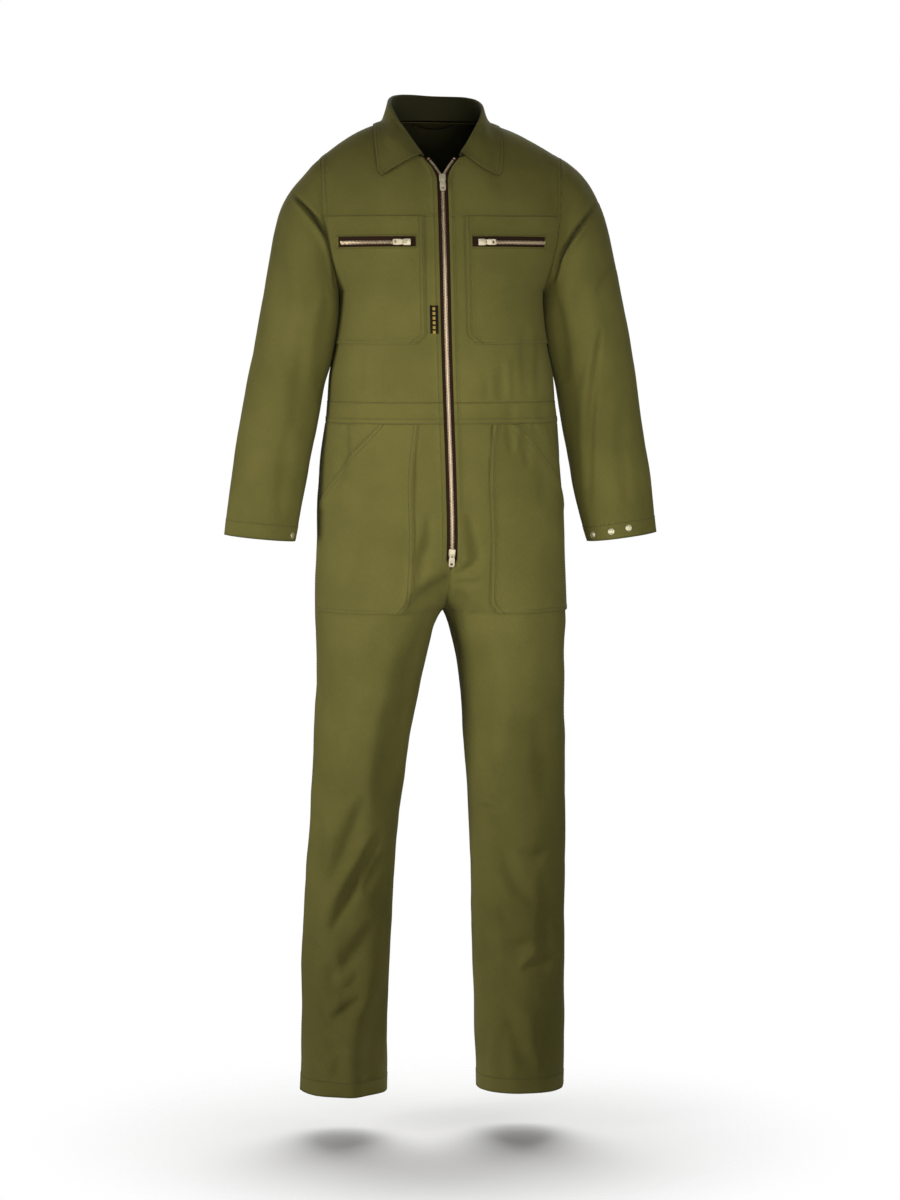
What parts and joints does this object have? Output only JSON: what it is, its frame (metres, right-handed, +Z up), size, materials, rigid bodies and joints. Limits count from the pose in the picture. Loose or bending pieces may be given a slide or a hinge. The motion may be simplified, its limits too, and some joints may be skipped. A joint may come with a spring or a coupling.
{
  "type": "boiler suit",
  "caption": "Filled-out, hollow olive boiler suit with a fold-down collar, two-way front zip, zipped chest pockets, thigh pockets and press-stud cuffs.",
  "frame": {"origin": "midway between the shoulders at neck-point level, inside the neck, where the wearer's shoulders hold the suit up", "axes": "+Z up along the wearer, -Y the way the wearer faces, +X the picture's right (the wearer's left)"},
  "size_m": [0.688, 0.2721, 1.5969],
  "materials": {
    "olive_drill": "matt cotton drill, olive green",
    "pocket_drill": "matt cotton drill, olive green",
    "zip_tape": "woven tape, dark brown",
    "zip_brass": "polished brass teeth",
    "slider_brass": "pale brass, satin",
    "snap_metal": "pale brass, satin",
    "woven_tab": "woven tab, near black"
  },
  "bodies": {
    "suit": {"back": "olive_drill", "chest_pocket_left": "pocket_drill", "chest_pocket_right": "pocket_drill", "chest_zip_chain_left": "zip_brass", "chest_zip_chain_right": "zip_brass", "chest_zip_tape_left": "zip_tape", "chest_zip_tape_right": "zip_tape", "collar": "olive_drill", "cuff_snap_left_1": "snap_metal", "cuff_snap_left_2": "snap_metal", "cuff_snap_left_3": "snap_metal", "cuff_snap_right_1": "snap_metal", "cuff_snap_right_2": "snap_metal", "cuff_snap_right_3": "snap_metal", "front_left": "olive_drill", "front_right": "olive_drill", "hanger_loop": "olive_drill", "label_tab": "woven_tab", "leg_back_left": "olive_drill", "leg_back_right": "olive_drill", "leg_front_left": "olive_drill", "leg_front_right": "olive_drill", "sleeve_left": "olive_drill", "sleeve_right": "olive_drill", "slider_bottom": "slider_brass", "slider_chest_left": "slider_brass", "slider_chest_right": "slider_brass", "slider_top": "slider_brass", "thigh_pocket_left": "pocket_drill", "thigh_pocket_right": "pocket_drill", "waistband_back": "olive_drill", "waistband_front_left": "olive_drill", "waistband_front_right": "olive_drill", "yoke_front_left": "olive_drill", "yoke_front_right": "olive_drill", "zip_chain": "zip_brass", "zip_stop_left": "zip_brass", "zip_stop_right": "zip_brass", "zip_tape_left": "zip_tape", "zip_tape_right": "zip_tape", "zip_teeth_left": "zip_brass", "zip_teeth_right": "zip_brass"},
    "pull_top": {"pull_top": "slider_brass"},
    "pull_bottom": {"pull_bottom": "slider_brass"},
    "pull_chest_left": {"pull_chest_left": "slider_brass"},
    "pull_chest_right": {"pull_chest_right": "slider_brass"}
  },
  "joints": [
    {"name": "pull_top_hinge", "type": "hinge", "parent": "suit", "child": "pull_top", "pos_m": [-0.00869, -0.1093, -0.08798], "axis": [-1, -0.0015, -0.004], "range_deg": [0, 170]},
    {"name": "pull_bottom_hinge", "type": "hinge", "parent": "suit", "child": "pull_bottom", "pos_m": [0.00418, -0.12965, -0.67415], "axis": [-0.9994, -0.0051, 0.0332], "range_deg": [0, 170]},
    {"name": "pull_chest_left_hinge", "type": "hinge", "parent": "suit", "child": "pull_chest_left", "pos_m": [-0.06944, -0.13257, -0.18619], "axis": [0.0105, 0.1055, 0.9944], "range_deg": [0, 170]},
    {"name": "pull_chest_right_hinge", "type": "hinge", "parent": "suit", "child": "pull_chest_right", "pos_m": [0.05384, -0.13258, -0.18616], "axis": [0.011, -0.1094, -0.9939], "range_deg": [0, 170]}
  ]
}
